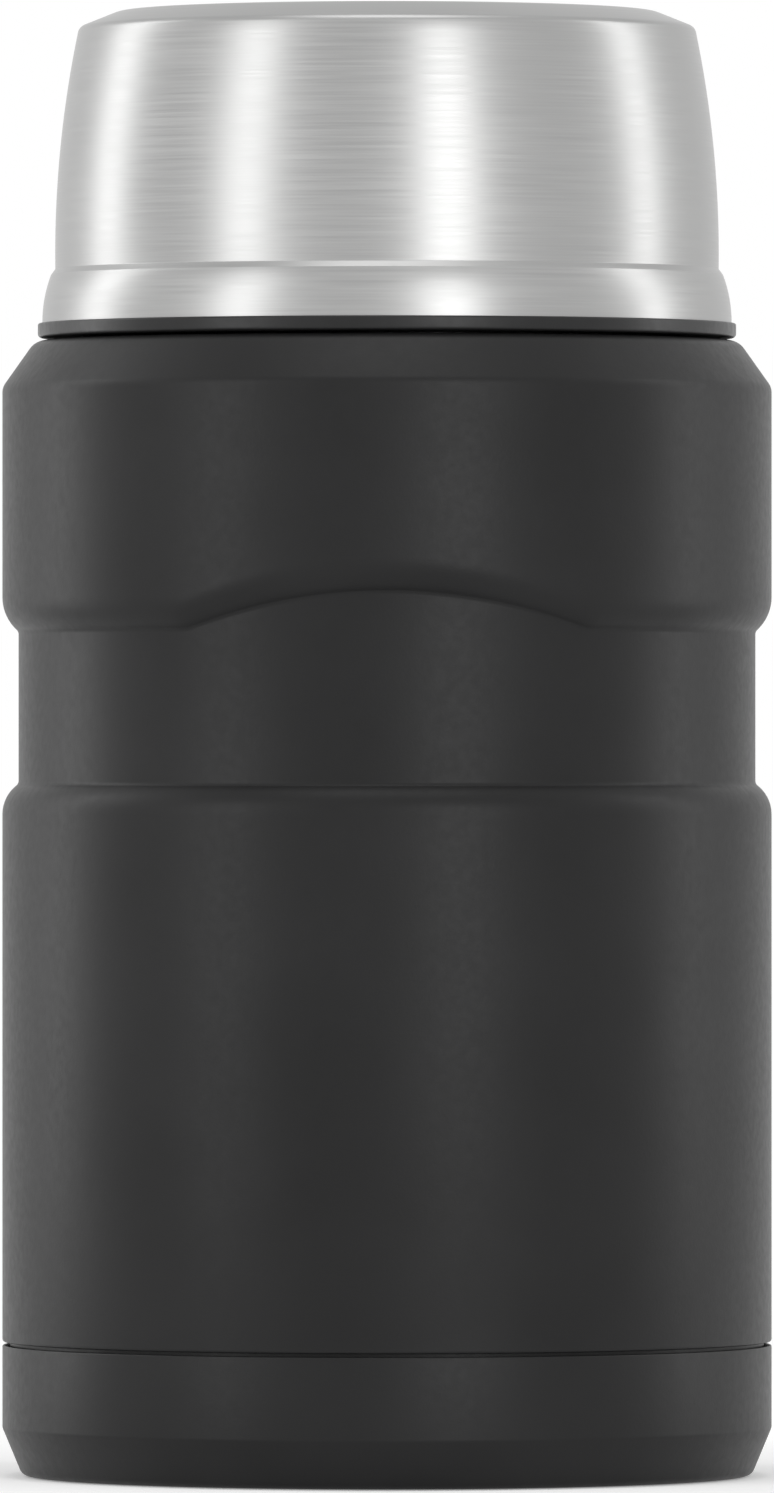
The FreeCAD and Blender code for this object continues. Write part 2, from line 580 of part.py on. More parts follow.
# Lid inner bowl: the steel bowl inside the lid, its turned-out rim resting on the rim ring.
BOWL_RIM = f"{RING_TOP} + bowl_fit"
BOWL_ROOF = f"{CROWN_TOP} - lid_wall - bowl_roof_gap"
lid_inner_bowl = turned("lid_inner_bowl", [
    (RING_BORE, BOWL_RIM, None),
    (f"{RING_BORE} + bowl_rim_reach", BOWL_RIM, None),
    (f"{RING_BORE} + bowl_rim_reach", f"{BOWL_RIM} + bowl_wall", None),
    (f"{RING_BORE} + bowl_wall", f"{BOWL_RIM} + bowl_wall", None),
    (f"{RING_BORE} + bowl_wall - bowl_taper", BOWL_ROOF, ("round", "bowl_rounding + bowl_wall")),
    ("0", BOWL_ROOF, None),
    ("0", f"{BOWL_ROOF} - bowl_wall", None),
    (f"{RING_BORE} - bowl_taper", f"{BOWL_ROOF} - bowl_wall", ("round", "bowl_rounding")),
])

SUB_PARTS = [
    outer_shell,
    base_cup,
    shell_bottom,
    evacuation_seal,
    inner_vessel,
    inner_vessel_bottom,
    heat_shield_foil,
    getter_holder,
    getter,
    stopper_body,
    stopper_gasket,
    stopper_cover,
    stopper_insulation,
    lid_rim_ring,
    lid_outer_shell,
    lid_inner_bowl,
]

doc.recompute()
for item in doc.Objects:
    if "Invalid" in item.State or "Error" in item.State:
        raise RuntimeError(f"{item.Label} failed: {item.State}")
os.makedirs("parts", exist_ok=True)
for sub_part in SUB_PARTS:
    if sub_part.Shape.isNull() or not sub_part.Shape.isValid() or len(sub_part.Shape.Solids) != 1:
        raise RuntimeError(f"{sub_part.Label} is not one valid solid")
for sub_part in SUB_PARTS:
    sub_part.Shape.exportStep(f"parts/{sub_part.Label}.step")
    box = sub_part.Shape.optimalBoundingBox(False, False)
    print(f"{sub_part.Label}: {sub_part.Shape.Volume:.1f} mm3, z {box.ZMin:.2f} to {box.ZMax:.2f}, "
          f"r {box.XMax:.2f}")
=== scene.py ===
import math

import bpy
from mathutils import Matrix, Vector


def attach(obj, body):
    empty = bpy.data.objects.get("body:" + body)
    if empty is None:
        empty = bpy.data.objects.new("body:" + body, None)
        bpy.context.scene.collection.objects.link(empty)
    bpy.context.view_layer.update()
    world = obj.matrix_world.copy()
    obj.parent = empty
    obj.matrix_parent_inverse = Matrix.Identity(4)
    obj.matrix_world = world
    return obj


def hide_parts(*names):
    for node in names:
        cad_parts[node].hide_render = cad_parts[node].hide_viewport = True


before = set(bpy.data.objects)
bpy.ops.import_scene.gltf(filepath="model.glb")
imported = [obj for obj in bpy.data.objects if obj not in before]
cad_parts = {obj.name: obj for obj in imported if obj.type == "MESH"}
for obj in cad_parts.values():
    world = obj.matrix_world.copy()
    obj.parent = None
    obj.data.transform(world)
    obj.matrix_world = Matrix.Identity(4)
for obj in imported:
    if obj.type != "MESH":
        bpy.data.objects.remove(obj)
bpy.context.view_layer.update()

MM = 0.001


# Studio: a camera level with the middle of the jar, a long way off, as the photograph has it.
# Tall soft strips stand round the jar and give the steel and the paint their bands of light.
CAMERA_DISTANCE = 2.209
CAMERA_HEIGHT = 0.08996
CAMERA_LENS = 431.2
camera_data = bpy.data.cameras.new("camera")
camera_data.lens = CAMERA_LENS
camera_data.sensor_width = 36.0
camera_data.clip_end = 20.0
camera = bpy.data.objects.new("camera", camera_data)
camera.location = (0.0, -CAMERA_DISTANCE, CAMERA_HEIGHT)
camera.rotation_euler = (math.radians(90), 0.0, 0.0)
bpy.context.scene.collection.objects.link(camera)
bpy.context.scene.camera = camera
bpy.context.scene.view_settings.view_transform = "Standard"


def strip_light(name, bearing, distance, width, height, middle, power):
    """A tall soft light; its bearing runs round the jar from the camera, positive to the right."""
    data = bpy.data.lights.new(name, "AREA")
    data.shape = "RECTANGLE"
    data.size = width
    data.size_y = height
    data.energy = power
    light = bpy.data.objects.new(name, data)
    angle = math.radians(bearing)
    light.location = (distance * math.sin(angle), -distance * math.cos(angle), middle)
    to_jar = Vector((0.0, 0.0, CAMERA_HEIGHT)) - light.location
    light.rotation_euler = to_jar.to_track_quat("-Z", "Y").to_euler()
    bpy.context.scene.collection.objects.link(light)


strip_light("left_rear_strip", -112, 1.4, 0.40, 1.6, 0.35, 6.0)
strip_light("left_front_strip", -50, 1.6, 0.42, 1.6, 0.35, 7.0)
strip_light("right_front_strip", 21, 1.8, 0.50, 1.6, 0.35, 9.5)
strip_light("right_rear_strip", 100, 1.4, 0.30, 1.6, 0.35, 5.0)
strip_light("overhead_strip", 0, 0.3, 0.9, 0.9, 1.6, 4.0)

# World: white where it is seen, directly or in the steel and the paint, and a weaker white as fill.
# The fill lights the jar evenly from all round, and the strips above add the bands.
FILL_STRENGTH = 0.55
BACKDROP_STRENGTH = 1.0


def node_tree(owner):
    owner.use_nodes = True
    owner.node_tree.nodes.clear()
    return owner.node_tree


def new_node(tree, kind, **settings):
    """Add a node; a setting names one of its properties or, failing that, one of its inputs."""
    node = tree.nodes.new(kind)
    for key, value in settings.items():
        if key in node.bl_rna.properties:
            setattr(node, key, value)
        else:
            node.inputs[key.replace("_", " ")].default_value = value
    return node


def seen_directly(tree):
    """1 for camera, glossy and transmission rays, 0 for the rays that only carry light."""
    path = new_node(tree, "ShaderNodeLightPath")
    first = new_node(tree, "ShaderNodeMath", operation="MAXIMUM")
    second = new_node(tree, "ShaderNodeMath", operation="MAXIMUM")
    tree.links.new(path.outputs["Is Camera Ray"], first.inputs[0])
    tree.links.new(path.outputs["Is Glossy Ray"], first.inputs[1])
    tree.links.new(first.outputs[0], second.inputs[0])
    tree.links.new(path.outputs["Is Transmission Ray"], second.inputs[1])
    return second.outputs[0]


world = bpy.data.worlds.new("white_studio")
bpy.context.scene.world = world
tree = node_tree(world)
WHITE = (1.0, 1.0, 1.0, 1.0)
fill_light = new_node(tree, "ShaderNodeBackground", Color=WHITE, Strength=FILL_STRENGTH)
white_backdrop = new_node(tree, "ShaderNodeBackground", Color=WHITE, Strength=BACKDROP_STRENGTH)
choose = new_node(tree, "ShaderNodeMixShader")
world_output = new_node(tree, "ShaderNodeOutputWorld")
tree.links.new(seen_directly(tree), choose.inputs[0])
tree.links.new(fill_light.outputs[0], choose.inputs[1])
tree.links.new(white_backdrop.outputs[0], choose.inputs[2])
tree.links.new(choose.outputs[0], world_output.inputs[0])

# Floor: a round pale sheet that fades into the white backdrop and keeps the jar's shadow.
# It lies a tenth of a millimetre under the foot, so that the two faces don't share a plane.
FLOOR_RADIUS = 0.60
FLOOR_SOLID_RADIUS = 0.30
FLOOR_CLEAR_RADIUS = FLOOR_RADIUS * 0.98
FLOOR_DROP = 0.0001
bpy.ops.object.select_all(action="DESELECT")
bpy.ops.mesh.primitive_circle_add(vertices=96, radius=FLOOR_RADIUS, fill_type="NGON",
                                  location=(0, 0, -FLOOR_DROP))
floor = bpy.context.active_object
floor.name = "floor"
floor_paint = bpy.data.materials.new("pale_floor")
tree = node_tree(floor_paint)
place = new_node(tree, "ShaderNodeTexCoord")
distance = new_node(tree, "ShaderNodeVectorMath", operation="LENGTH")
fade = new_node(tree, "ShaderNodeMapRange")
fade.inputs["From Min"].default_value = FLOOR_SOLID_RADIUS
fade.inputs["From Max"].default_value = FLOOR_CLEAR_RADIUS
pale = new_node(tree, "ShaderNodeBsdfDiffuse", Color=(0.9, 0.9, 0.9, 1.0))
lift = new_node(tree, "ShaderNodeEmission", Color=WHITE, Strength=0.25)
lit = new_node(tree, "ShaderNodeAddShader")
clear = new_node(tree, "ShaderNodeBsdfTransparent")
faded = new_node(tree, "ShaderNodeMixShader")
floor_output = new_node(tree, "ShaderNodeOutputMaterial")
tree.links.new(place.outputs["Object"], distance.inputs[0])
tree.links.new(distance.outputs["Value"], fade.inputs["Value"])
tree.links.new(pale.outputs[0], lit.inputs[0])
tree.links.new(lift.outputs[0], lit.inputs[1])
tree.links.new(fade.outputs[0], faded.inputs[0])
tree.links.new(lit.outputs[0], faded.inputs[1])
tree.links.new(clear.outputs[0], faded.inputs[2])
tree.links.new(faded.outputs[0], floor_output.inputs[0])
floor.data.materials.append(floor_paint)


# Outer shell: a drawn steel tube, powder coated black up to the neck and bare above the shoulder.
# The pressed waist runs all the way round, and its upper edge rises in an arch at the front.
BODY_RADIUS = 47.5
WALL = 0.7
WAIST_DEPTH = 2.0
WAIST_LOW = 85.35
WAIST_HIGH = 104.15
LOWER_BEND = 4.5
UPPER_BEND = 5.5
WAIST_FILLET = 0.8
ARCH_RISE = 4.55
ARCH_RADIUS = 66.6
SHELL_END = 6.8
SHELL_END_RADIUS = 46.55
SEAM_TOP = 16.5
SHOULDER_LOW = 134.3
SHOULDER_TOP = 140.1
SHOULDER_LEAN = math.radians(35.3)
NECK_RADIUS = 36.6
NECK_TOP = 150.5
LIP_HEIGHT = 1.0
SEAM_ROUNDING = 0.35
SHOULDER_LOW_ROUNDING = 2.0
SHOULDER_TOP_ROUNDING = 2.4
NECK_ROOT_ROUNDING = 0.8
BARE_RADIUS = NECK_RADIUS + 1.5
ROUND_STEPS = 256
SMOOTH_ANGLE = math.radians(28)
MERGE_DISTANCE = 0.01


def rounded(points, steps=6):
    """Points of an outline, with the corners that carry a radius turned into arcs."""
    smooth = []
    count = len(points)
    for index, point in enumerate(points):
        here = Vector(point[:2])
        radius = point[2] if len(point) > 2 else 0.0
        if not radius:
            smooth.append(here)
            continue
        before = (Vector(points[index - 1][:2]) - here).normalized()
        after = (Vector(points[(index + 1) % count][:2]) - here).normalized()
        half = before.angle(after) / 2
        reach = radius / math.tan(half)
        centre = here + (before + after).normalized() * radius / math.sin(half)
        first = here + before * reach - centre
        last = here + after * reach - centre
        swing = first.angle_signed(last)
        for step in range(steps + 1):
            angle = -swing * step / steps
            turned = Vector((
                first.x * math.cos(angle) - first.y * math.sin(angle),
                first.x * math.sin(angle) + first.y * math.cos(angle),
            ))
            smooth.append(centre + turned)
    return [(place.x, place.y) for place in smooth]


def bend(start, end, radius, steps=8):
    """Points between start and end on an arc that bulges away from the jar's axis."""
    start, end = Vector(start), Vector(end)
    middle = (start + end) / 2
    across = (end - start).normalized()
    inward = Vector((-across.y, across.x))
    if inward.x > 0:
        inward.negate()
    centre = middle + inward * math.sqrt(radius**2 - ((end - start).length / 2) ** 2)
    low = math.atan2(start.y - centre.y, start.x - centre.x)
    high = math.atan2(end.y - centre.y, end.x - centre.x)
    return [
        (centre.x + radius * math.cos(low + (high - low) * step / steps),
         centre.y + radius * math.sin(low + (high - low) * step / steps))
        for step in range(1, steps)
    ]


def spun(name, outline, steps=ROUND_STEPS):
    """Turn a closed half section, in millimetres, once round the jar's axis."""
    bpy.ops.object.select_all(action="DESELECT")
    bpy.ops.mesh.primitive_plane_add(size=MM, location=(0, 0, 0))
    piece = bpy.context.active_object
    piece.name = piece.data.name = name
    bpy.ops.object.mode_set(mode="EDIT")
    bpy.ops.mesh.select_all(action="SELECT")
    bpy.ops.mesh.merge(type="CENTER")
    here = Vector((outline[0][0] * MM, 0.0, outline[0][1] * MM))
    bpy.ops.transform.translate(value=here)
    for across, up in outline[1:]:
        following = Vector((across * MM, 0.0, up * MM))
        bpy.ops.mesh.extrude_region_move(TRANSFORM_OT_translate={"value": following - here})
        here = following
    bpy.ops.object.mode_set(mode="OBJECT")
    ends = (0, len(piece.data.vertices) - 1)
    for vertex in piece.data.vertices:
        vertex.select = vertex.index in ends
    bpy.ops.object.mode_set(mode="EDIT")
    if outline[0][0] > 0 or outline[-1][0] > 0:
        bpy.ops.mesh.edge_face_add()
    bpy.ops.mesh.select_all(action="SELECT")
    bpy.ops.mesh.spin(steps=steps, angle=math.tau, center=(0, 0, 0), axis=(0, 0, 1))
    bpy.ops.mesh.select_all(action="SELECT")
    bpy.ops.mesh.remove_doubles(threshold=MERGE_DISTANCE * MM)
    bpy.ops.mesh.delete_loose()
    bpy.ops.mesh.select_all(action="SELECT")
    bpy.ops.mesh.normals_make_consistent(inside=False)
    bpy.ops.object.mode_set(mode="OBJECT")
    bpy.ops.object.shade_smooth_by_angle(angle=SMOOTH_ANGLE)
    return piece


def surface(name):
    """A new material with a plain principled shader; returns (material, tree, shader)."""
    material = bpy.data.materials.new(name)
    tree = node_tree(material)
    shader = new_node(tree, "ShaderNodeBsdfPrincipled")
    output = new_node(tree, "ShaderNodeOutputMaterial")
    tree.links.new(shader.outputs[0], output.inputs[0])
    return material, tree, shader


def object_place(tree, scale=(1.0, 1.0, 1.0)):
    """The place on the piece, in metres times a scale."""
    place = new_node(tree, "ShaderNodeTexCoord")
    mapping = new_node(tree, "ShaderNodeMapping")
    mapping.inputs["Scale"].default_value = scale
    tree.links.new(place.outputs["Object"], mapping.inputs["Vector"])
    return mapping.outputs[0]


def noise(tree, place, scale, detail=2.0):
    node = new_node(tree, "ShaderNodeTexNoise", Scale=scale, Detail=detail)
    tree.links.new(place, node.inputs["Vector"])
    return node.outputs["Fac"]


def between(tree, factor, low, high):
    """Map a 0 to 1 pattern to a range of values."""
    node = new_node(tree, "ShaderNodeMapRange")
    node.inputs["From Min"].default_value = 0.3
    node.inputs["From Max"].default_value = 0.7
    node.inputs["To Min"].default_value = low
    node.inputs["To Max"].default_value = high
    tree.links.new(factor, node.inputs["Value"])
    return node.outputs[0]


def two_tones(tree, factor, dark, light):
    ramp = new_node(tree, "ShaderNodeValToRGB")
    ramp.color_ramp.elements[0].position = 0.3
    ramp.color_ramp.elements[0].color = (*dark, 1.0)
    ramp.color_ramp.elements[1].position = 0.7
    ramp.color_ramp.elements[1].color = (*light, 1.0)
    tree.links.new(factor, ramp.inputs[0])
    return ramp.outputs[0]


def bumped(tree, shader, height, depth, strength=1.0):
    node = new_node(tree, "ShaderNodeBump", Strength=strength, Distance=depth)
    tree.links.new(height, node.inputs["Height"])
    tree.links.new(node.outputs[0], shader.inputs["Normal"])


def powder_coat(name, dark, light):
    """Baked powder paint: a very fine orange peel and slightly uneven gloss."""
    material, tree, shader = surface(name)
    place = object_place(tree)
    tree.links.new(two_tones(tree, noise(tree, place, 60.0), dark, light),
                   shader.inputs["Base Color"])
    tree.links.new(between(tree, noise(tree, place, 900.0), 0.38, 0.44), shader.inputs["Roughness"])
    shader.inputs["Specular IOR Level"].default_value = 0.22
    bumped(tree, shader, noise(tree, place, 2600.0, 3.0), 0.00002, 0.5)
    return material


BRUSH_STRETCH = (60.0, 60.0, 5200.0)


def turned_steel(name, dark, light, roughness, grain=0.000004):
    """Stainless steel with the fine round lines of a spinning brush."""
    material, tree, shader = surface(name)
    shader.inputs["Metallic"].default_value = 1.0
    place = new_node(tree, "ShaderNodeTexCoord")
    split = new_node(tree, "ShaderNodeSeparateXYZ")
    flat = new_node(tree, "ShaderNodeCombineXYZ")
    out = new_node(tree, "ShaderNodeVectorMath", operation="LENGTH")
    along = new_node(tree, "ShaderNodeMath", operation="ADD")
    lines_at = new_node(tree, "ShaderNodeCombineXYZ")
    tree.links.new(place.outputs["Object"], split.inputs[0])
    tree.links.new(split.outputs[0], flat.inputs[0])
    tree.links.new(split.outputs[1], flat.inputs[1])
    tree.links.new(flat.outputs[0], out.inputs[0])
    tree.links.new(out.outputs["Value"], along.inputs[0])
    tree.links.new(split.outputs[2], along.inputs[1])
    stretch = new_node(tree, "ShaderNodeVectorMath", operation="MULTIPLY")
    stretch.inputs[1].default_value = BRUSH_STRETCH
    tree.links.new(split.outputs[0], lines_at.inputs[0])
    tree.links.new(split.outputs[1], lines_at.inputs[1])
    tree.links.new(along.outputs[0], lines_at.inputs[2])
    tree.links.new(lines_at.outputs[0], stretch.inputs[0])
    lines = noise(tree, stretch.outputs[0], 1.0, 3.0)
    tree.links.new(two_tones(tree, lines, dark, light), shader.inputs["Base Color"])
    tree.links.new(between(tree, lines, roughness - 0.04, roughness + 0.04),
                   shader.inputs["Roughness"])
    bumped(tree, shader, lines, grain, 0.6)
    return material


def dress(piece, body, slot, materials, *nodes):
    """Give a piece its materials, body and the solids that it stands for; the slot argument is not
    used.
    """
    for material in materials:
        piece.data.materials.append(material)
    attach(piece, body)
    if nodes:
        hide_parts(*nodes)


def shell_side(inset):
    """The shell's side from the seam up to the neck, on the outside or inside of its wall."""
    body = BODY_RADIUS - inset
    waist = body - WAIST_DEPTH
    lower = LOWER_BEND - inset
    upper = UPPER_BEND - inset
    low_edge = WAIST_LOW - math.sqrt(LOWER_BEND**2 - (LOWER_BEND - WAIST_DEPTH) ** 2)
    high_edge = WAIST_HIGH + math.sqrt(UPPER_BEND**2 - (UPPER_BEND - WAIST_DEPTH) ** 2)
    low_corner = low_edge + math.sqrt(lower**2 - (lower - WAIST_DEPTH) ** 2)
    high_corner = high_edge - math.sqrt(upper**2 - (upper - WAIST_DEPTH) ** 2)
    lean = inset * math.tan(SHOULDER_LEAN / 2)
    turn = inset * math.tan(math.radians(45) - SHOULDER_LEAN / 2)
    shoulder_radius = BODY_RADIUS - (SHOULDER_TOP - SHOULDER_LOW) * math.tan(SHOULDER_LEAN)
    return [
        (body, SEAM_TOP + inset, 0.0 if inset else SEAM_ROUNDING),
        (body, low_edge),
        *bend((body, low_edge), (waist, low_corner), lower),
        (waist, low_corner, WAIST_FILLET),
        (waist, high_corner, WAIST_FILLET),
        *bend((waist, high_corner), (body, high_edge), upper, 10),
        (body, high_edge),
        (body, SHOULDER_LOW - lean, SHOULDER_LOW_ROUNDING - inset),
        (shoulder_radius - turn, SHOULDER_TOP - inset, SHOULDER_TOP_ROUNDING - inset),
        (NECK_RADIUS - inset, SHOULDER_TOP - inset, NECK_ROOT_ROUNDING + inset),
        (NECK_RADIUS - inset, NECK_TOP - LIP_HEIGHT),
    ]


def lift_arch(piece):
    """Raise the waist's upper edge at the front into its arch, a circle as seen from the front."""
    waist = BODY_RADIUS - WAIST_DEPTH
    lowest = WAIST_HIGH - WAIST_FILLET
    highest = WAIST_HIGH + UPPER_BEND
    for vertex in piece.data.vertices:
        if vertex.co.y < 0 and lowest * MM < vertex.co.z < highest * MM:
            across = waist * vertex.co.x / vertex.co.xy.length
            if abs(across) < ARCH_RADIUS:
                rise = math.sqrt(ARCH_RADIUS**2 - across**2) - ARCH_RADIUS + ARCH_RISE
                vertex.co.z += max(rise, 0.0) * MM


paint = powder_coat("black_powder_coat", (0.0075, 0.0075, 0.0077), (0.0105, 0.0105, 0.0108))
bare_steel = turned_steel("bare_neck_steel", (0.40, 0.40, 0.40), (0.52, 0.52, 0.515), 0.28)
shell_outline = (
    [(SHELL_END_RADIUS, SHELL_END), (SHELL_END_RADIUS, SEAM_TOP)]
    + shell_side(0.0)
    + shell_side(WALL)[::-1]
    + [(SHELL_END_RADIUS - WALL, SEAM_TOP + WALL), (SHELL_END_RADIUS - WALL, SHELL_END)]
)
painted_shell = spun("painted_shell", rounded(shell_outline))
lift_arch(painted_shell)
dress(painted_shell, "jar", "painted_steel", [paint, bare_steel], "outer_shell")
for face in painted_shell.data.polygons:
    if face.center.z > SHOULDER_TOP * MM and face.center.xy.length < BARE_RADIUS * MM:
        face.material_index = 1

# Base cup: a painted cup pressed over the shell's drawn-in end, with a chamfer down to its foot.
# It stands on its outer ring, and the middle of its underside is a millimetre higher.
CUP_WALL = 0.8
CUP_TOP = 16.1
CUP_CHAMFER = 5.9
CUP_LEAN = math.radians(22.6)
FOOT_RADIUS = BODY_RADIUS - CUP_CHAMFER * math.tan(CUP_LEAN)
FOOT_RING = 5.0
FOOT_RECESS = 1.0
FOOT_ROUNDING = 1.2
RECESS_ROUNDING = 0.6
CUP_INNER_ROUNDING = 0.5
CUP_RIM_ROUNDING = 0.2
CUP_RIM_INNER_ROUNDING = 0.15
cup_floor = FOOT_RECESS + CUP_WALL
cup_corner = CUP_CHAMFER + CUP_WALL * math.tan(CUP_LEAN / 2)
base_cup = spun("painted_base_cup", rounded([
    (0.0, FOOT_RECESS),
    (FOOT_RADIUS - FOOT_RING - FOOT_RECESS, FOOT_RECESS, RECESS_ROUNDING),
    (FOOT_RADIUS - FOOT_RING, 0.0, RECESS_ROUNDING),
    (FOOT_RADIUS, 0.0, FOOT_ROUNDING),
    (BODY_RADIUS, CUP_CHAMFER, FOOT_ROUNDING),
    (BODY_RADIUS, CUP_TOP, CUP_RIM_ROUNDING),
    (BODY_RADIUS - CUP_WALL, CUP_TOP, CUP_RIM_INNER_ROUNDING),
    (BODY_RADIUS - CUP_WALL, cup_corner, CUP_INNER_ROUNDING),
    (BODY_RADIUS - CUP_WALL - (cup_corner - cup_floor) * math.tan(CUP_LEAN), cup_floor,
     CUP_INNER_ROUNDING),
    (0.0, cup_floor),
]))
dress(base_cup, "jar", "painted_steel", [paint], "base_cup")

# Inner vessel: the steel flask inside the shell, closed by its own bottom across the vacuum.
# Its neck carries the food mouth and the rolled lip that is welded to the shell's neck.
VESSEL_RADIUS = 43.3
VESSEL_WALL = 0.5
VESSEL_WELD = 20.0
VESSEL_BASE = 12.0
VESSEL_ROUNDING = 4.0
VESSEL_SHOULDER_LOW = 121.0
VESSEL_SHOULDER_HIGH = 130.0
INNER_SHOULDER_LOW = 120.8
INNER_SHOULDER_HIGH = 129.7
LIP_ROUNDING = 0.45
MOUTH_RADIUS = 34.6
vessel_steel = turned_steel("vessel_steel", (0.40, 0.40, 0.395), (0.50, 0.50, 0.49), 0.24)
vessel_outside = MOUTH_RADIUS + VESSEL_WALL
inner_vessel = spun("inner_vessel_steel", rounded([
    (VESSEL_RADIUS, VESSEL_WELD),
    (VESSEL_RADIUS, VESSEL_SHOULDER_LOW, VESSEL_ROUNDING),
    (vessel_outside, VESSEL_SHOULDER_HIGH, VESSEL_ROUNDING),
    (vessel_outside, NECK_TOP - LIP_HEIGHT),
    (NECK_RADIUS, NECK_TOP - LIP_HEIGHT, 0.3),
    (NECK_RADIUS, NECK_TOP, LIP_ROUNDING),
    (MOUTH_RADIUS, NECK_TOP, LIP_ROUNDING),
    (MOUTH_RADIUS, INNER_SHOULDER_HIGH, VESSEL_ROUNDING + VESSEL_WALL),
    (VESSEL_RADIUS - VESSEL_WALL, INNER_SHOULDER_LOW, VESSEL_ROUNDING - VESSEL_WALL),
    (VESSEL_RADIUS - VESSEL_WALL, VESSEL_WELD),
]))
dress(inner_vessel, "jar", "vessel_steel", [vessel_steel], "inner_vessel")
DISH_RADIUS = 24.0
DISH_TOP_RADIUS = 20.0
DISH_RISE = 1.5
DISH_ROUNDING = 3.0
BOTTOM_ROUNDING = 7.0
vessel_bottom = spun("inner_vessel_bottom_steel", rounded([
    (0.0, VESSEL_BASE + DISH_RISE),
    (DISH_TOP_RADIUS, VESSEL_BASE + DISH_RISE, DISH_ROUNDING),
    (DISH_RADIUS, VESSEL_BASE, DISH_ROUNDING),
    (VESSEL_RADIUS, VESSEL_BASE, BOTTOM_ROUNDING),
    (VESSEL_RADIUS, VESSEL_WELD),
    (VESSEL_RADIUS - VESSEL_WALL, VESSEL_WELD),
    (VESSEL_RADIUS - VESSEL_WALL, VESSEL_BASE + VESSEL_WALL, BOTTOM_ROUNDING - VESSEL_WALL),
    (DISH_RADIUS, VESSEL_BASE + VESSEL_WALL, DISH_ROUNDING),
    (DISH_TOP_RADIUS, VESSEL_BASE + VESSEL_WALL + DISH_RISE, DISH_ROUNDING),
    (0.0, VESSEL_BASE + VESSEL_WALL + DISH_RISE),
]))
dress(vessel_bottom, "jar", "vessel_steel", [vessel_steel], "inner_vessel_bottom")

# Threads: rounded beads rolled or moulded into the necks, right-handed, five millimetres a turn.
# Each pair sits half a pitch apart, so the bead of one runs in the gap of the other.
THREAD_LEAD = 5.0
THREAD_TURNS = 1.25
BEAD_HALF_WIDTH = 0.9
BEAD_RUN_OUT_TURNS = 0.10
BEAD_SINK = 0.15
BEAD_STEPS = 180
JAR_THREAD_BEARING = 100.0
PARTNER_THREAD_BEARING = 280.0


def thread_bead(name, radius, crest, start, bearing):
    """A helical bead from radius out or in to its crest, which sinks into its wall at both ends."""
    bpy.ops.object.select_all(action="DESELECT")
    bpy.ops.mesh.primitive_circle_add(vertices=16, radius=BEAD_HALF_WIDTH * MM, location=(0, 0, 0))
    bead = bpy.context.active_object
    bead.name = bead.data.name = name
    height = crest - radius
    bpy.ops.transform.resize(value=(abs(height) / BEAD_HALF_WIDTH, 1.0, 1.0),
                             center_override=(0, 0, 0))
    bpy.ops.transform.rotate(value=math.radians(90), orient_axis="X", center_override=(0, 0, 0))
    bpy.ops.transform.translate(value=(radius * MM, 0.0, start * MM))
    bpy.ops.object.transform_apply(location=True, rotation=True, scale=True)
    winding = bead.modifiers.new("winding", "SCREW")
    winding.angle = THREAD_TURNS * math.tau
    winding.screw_offset = THREAD_LEAD * THREAD_TURNS * MM
    winding.steps = winding.render_steps = BEAD_STEPS
    winding.use_merge_vertices = False
    bpy.ops.object.modifier_apply(modifier=winding.name)
    lowest = start * MM
    for vertex in bead.data.vertices:
        place = vertex.co
        bead_angle = math.atan2(place.y, place.x)
        out = place.xy.length / MM - radius
        turns = (place.z - lowest) / MM / THREAD_LEAD
        nearest = bead_angle / math.tau + round(turns - bead_angle / math.tau)
        from_end = min(nearest, THREAD_TURNS - nearest) / BEAD_RUN_OUT_TURNS
        swell = math.sqrt(max(0.0, 1.0 - (1.0 - min(from_end, 1.0)) ** 2))
        middle = nearest * THREAD_LEAD * MM + lowest
        sink = -BEAD_SINK if height > 0 else BEAD_SINK
        reach = (radius + sink + (out - sink) * swell) * MM
        direction = place.xy.normalized()
        vertex.co = (direction.x * reach, direction.y * reach,
                     middle + (place.z - middle) * swell)
    bpy.ops.object.mode_set(mode="EDIT")
    bpy.ops.mesh.select_all(action="SELECT")
    bpy.ops.mesh.remove_doubles(threshold=0.003 * MM)
    bpy.ops.mesh.select_all(action="SELECT")
    bpy.ops.transform.rotate(value=math.radians(bearing), orient_axis="Z",
                             center_override=(0, 0, 0))
    bpy.ops.mesh.normals_make_consistent(inside=False)
    bpy.ops.object.mode_set(mode="OBJECT")
    bpy.ops.object.shade_smooth()
    return bead


NECK_THREAD_START = 141.6
NECK_THREAD_CREST = 37.6
neck_thread = thread_bead("neck_thread", NECK_RADIUS, NECK_THREAD_CREST, NECK_THREAD_START,
                          JAR_THREAD_BEARING)
dress(neck_thread, "jar", "vessel_steel", [bare_steel])
MOUTH_THREAD_START = 140.6
MOUTH_THREAD_CREST = 33.7
mouth_thread = thread_bead("mouth_thread", MOUTH_RADIUS, MOUTH_THREAD_CREST, MOUTH_THREAD_START,
                           JAR_THREAD_BEARING)
dress(mouth_thread, "jar", "vessel_steel", [vessel_steel])


def moulded_plastic(name, dark, light, roughness):
    """Moulded plastic with the faint spark-eroded texture of its mould."""
    material, tree, shader = surface(name)
    place = object_place(tree)
    tree.links.new(two_tones(tree, noise(tree, place, 90.0), dark, light),
                   shader.inputs["Base Color"])
    tree.links.new(between(tree, noise(tree, place, 700.0), roughness - 0.04, roughness + 0.04),
                   shader.inputs["Roughness"])
    shader.inputs["Specular IOR Level"].default_value = 0.3
    bumped(tree, shader, noise(tree, place, 2200.0, 3.0), 0.00002, 0.5)
    return material


